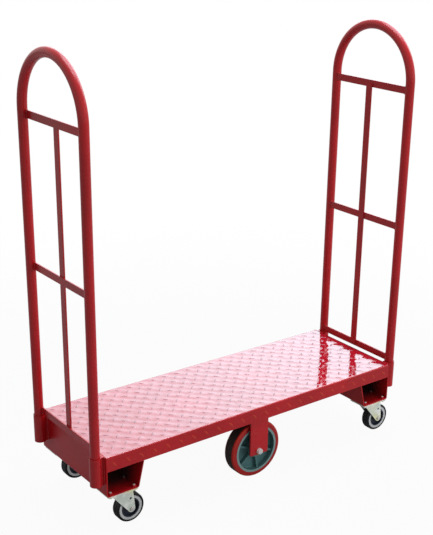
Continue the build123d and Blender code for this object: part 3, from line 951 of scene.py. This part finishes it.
def axleShells(sizes):
    half = sizes["half"]
    sleeve = sizes["sleeveHalf"]
    return [
        boltShell(sizes, half, half + sizes["nut"] + sizes["tail"]),
        nutShell(sizes, -half),
        ringShell(sizes["sleeveBore"], sizes["sleeveRadius"], -sleeve, sleeve, sizes["sleeveEdge"]),
    ]


def tyreProfile(tyre):
    points = [(tyre["inner"], -tyre["half"])]
    shoulder = tyre["shoulder"]
    edge = tyre["half"] - shoulder
    crown = tyre["outer"] - shoulder
    for step in range(tyre["shoulderSteps"] + 1):
        angle = math.radians(-90 + 90 * step / tyre["shoulderSteps"])
        points.append((crown + shoulder * math.cos(angle), -edge + shoulder * math.sin(angle)))
    for middle in tyre["grooves"]:
        for offset, depth in tyre["grooveShape"]:
            points.append((tyre["outer"] - depth * tyre["grooveDepth"],
                           middle + offset * tyre["grooveWidth"]))
    for step in range(tyre["shoulderSteps"] + 1):
        angle = math.radians(90 * step / tyre["shoulderSteps"])
        points.append((crown + shoulder * math.cos(angle), edge + shoulder * math.sin(angle)))
    return points + [(tyre["inner"], tyre["half"])]


def dressCaster(caster, label, spot):
    axleName = label + "CasterAxle"
    shells = axleShells(casterAxleSizes)
    axleMesh = setFasteners(axleName, shells, [(spot, (0, -1, 0))], finishes["bright_steel"])
    axle = newPiece(axleName, axleMesh, caster + "_swivel")
    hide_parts(caster + "_axle")
    tyreName = label + "CasterTyre"
    tyreShell = (tyreProfile(casterTyre), casterTyre["segments"], True, None)
    tyreMesh = latheMesh(tyreName, [tyreShell])
    tyreMesh.transform(Matrix.Translation(spot) @ Matrix.Rotation(math.pi / 2, 4, "X"))
    tyreMesh.materials.append(finishes["black_rubber"])
    tyre = newPiece(tyreName, tyreMesh, caster + "_wheel")
    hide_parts(caster + "_tyre")


for endName, end in ends.items():
    for sideName, side in sides.items():
        axleX = end * plateBoltSizes["pinX"] + casterAxleSizes["trail"]
        axleSpot = (axleX, side * plateBoltSizes["pinY"], casterAxleSizes["height"])
        dressCaster(f"{sideName}_{endName}_caster", sideName + endName.capitalize(), axleSpot)
print("casters dressed")


# Floor, world and lamps

white = (1, 1, 1, 1)
stage = {
    "floorHalf": 30.0, "floorSquares": 8, "floorTone": (0.29, 0.29, 0.29, 1.0), "floorDull": 0.9,
    "nearGlow": 0.95, "fadeFrom": 1.0, "fadeTo": 3.2,
    "nearGloss": 0.14, "farGloss": 0.42, "skyGloss": 1.0, "fill": 0.41,
}
lamps = {
    "key": {"place": (1.3, 0.5, 6.2), "target": (0.0, 0.0, 0.9), "size": (3.9, 3.9), "radiance": 6.2,
            "tint": (0.97, 0.96, 1.1), "spread": 180, "mirrored": True},
    "front": {"place": (2.7, -4.6, 1.7), "target": (-0.2, 0.0, 0.5), "size": (4.6, 3.0), "radiance": 3.2,
              "tint": (1.0, 1.0, 1.0), "spread": 180, "mirrored": False},
    "side": {"place": (5.0, 0.6, 4.3), "target": (0.0, 0.0, 0.9), "size": (4.0, 4.0), "radiance": 3.1,
             "tint": (0.93, 1.0, 1.16), "spread": 180, "mirrored": True},
    "back": {"place": (2.6, 3.4, 2.9), "target": (0.03, 0.77, 1.33), "size": (4.8, 3.2), "radiance": 0.4,
             "tint": (0.58, 0.88, 1.0), "spread": 60, "mirrored": True},
}


def seenShare(graph, gloss):  # 1 on camera and see-through rays, a share on mirrored rays
    path = graph.add("ShaderNodeLightPath", out="Is Camera Ray")
    mirrored = path.out("Is Glossy Ray") * gloss
    return path.calc("MAXIMUM", mirrored).calc("MAXIMUM", path.out("Is Transmission Ray"))


def makeFloor():
    bm = bmesh.new()
    squares = stage["floorSquares"]
    bmesh.ops.create_grid(bm, x_segments=squares, y_segments=squares, size=stage["floorHalf"])
    mesh = bpy.data.meshes.new("studioFloor")
    bm.to_mesh(mesh)
    bm.free()
    finish, graph = newFinish("studioFloorPale")
    x, y, _ = graph.axes(graph.place())
    away = graph.ramp((x * x + y * y) ** 0.5, stage["fadeFrom"], stage["fadeTo"])
    gloss = stage["nearGloss"] + (stage["farGloss"] - stage["nearGloss"]) * away
    glow = seenShare(graph, gloss) * (stage["nearGlow"] + (1 - stage["nearGlow"]) * away)
    setShader(finish, {
        "Base Color": stage["floorTone"], "Roughness": stage["floorDull"], "Specular IOR Level": 0.0,
    })
    tree = finish.node_tree
    plain = Wire(graph, tree.nodes["Principled BSDF"].outputs[0])
    lit = graph.add("ShaderNodeEmission", {}, {"Color": white, "Strength": 1.0})
    mixed = graph.add("ShaderNodeMixShader", {}, {0: glow, 1: plain, 2: lit})
    tree.links.new(mixed.socket, tree.nodes["Material Output"].inputs["Surface"])
    mesh.materials.append(finish)
    floor = bpy.data.objects.new("studioFloor", mesh)
    bpy.context.scene.collection.objects.link(floor)


def makeWorld():
    world = bpy.data.worlds.new("studioWorld")
    bpy.context.scene.world = world
    world.use_nodes = True
    graph = Graph(world.node_tree)
    seen = seenShare(graph, stage["skyGloss"])
    background = world.node_tree.nodes["Background"]
    background.inputs["Color"].default_value = white
    strength = stage["fill"] + (1 - stage["fill"]) * seen
    world.node_tree.links.new(strength.socket, background.inputs["Strength"])


def makeLamp(name, lamp):
    light = bpy.data.lights.new(name, "AREA")
    light.shape = "RECTANGLE"
    light.size, light.size_y = lamp["size"]
    light.energy = lamp["radiance"] * math.pi * light.size * light.size_y
    light.color = lamp["tint"]
    light.spread = math.radians(lamp["spread"])
    holder = bpy.data.objects.new(name, light)
    bpy.context.scene.collection.objects.link(holder)
    aim = Vector(lamp["place"]) - Vector(lamp["target"])
    holder.location = lamp["place"]
    holder.rotation_euler = aim.to_track_quat("Z", "Y").to_euler()
    holder.visible_camera = False
    holder.visible_glossy = lamp["mirrored"]  # a soft fill leaves no patch on the deck


makeFloor()
makeWorld()
for name, lamp in lamps.items():
    makeLamp(name + "Lamp", lamp)
bpy.context.scene.view_settings.view_transform = "Standard"
print("stage lit")


# Camera at the photograph's viewing angle

view = {
    "place": (-2.10435, -2.76017, 1.92482), "azimuth": -36.829, "elevation": 21.707, "roll": 0.694,
    "focalPixels": 1080.3, "framePixels": 535, "sensor": 36.0, "shiftY": 0.0888,
}


def makeCamera():
    data = bpy.data.cameras.new("photoCamera")
    data.sensor_width = view["sensor"]
    data.lens = view["focalPixels"] / view["framePixels"] * view["sensor"]
    data.shift_y = view["shiftY"]
    camera = bpy.data.objects.new("photoCamera", data)
    bpy.context.scene.collection.objects.link(camera)
    turn, rise, roll = (math.radians(view[key]) for key in ("azimuth", "elevation", "roll"))
    level = math.cos(rise)
    back = Vector((math.sin(turn) * level, -math.cos(turn) * level, math.sin(rise)))
    right = (-back).cross(Vector((0, 0, 1))).normalized()
    up = right.cross(-back)
    cosine, sine = math.cos(roll), math.sin(roll)
    right, up = right * cosine + up * sine, up * cosine - right * sine
    turned = Matrix((right, up, back)).transposed().to_4x4()
    camera.matrix_world = Matrix.Translation(view["place"]) @ turned
    bpy.context.scene.camera = camera


makeCamera()
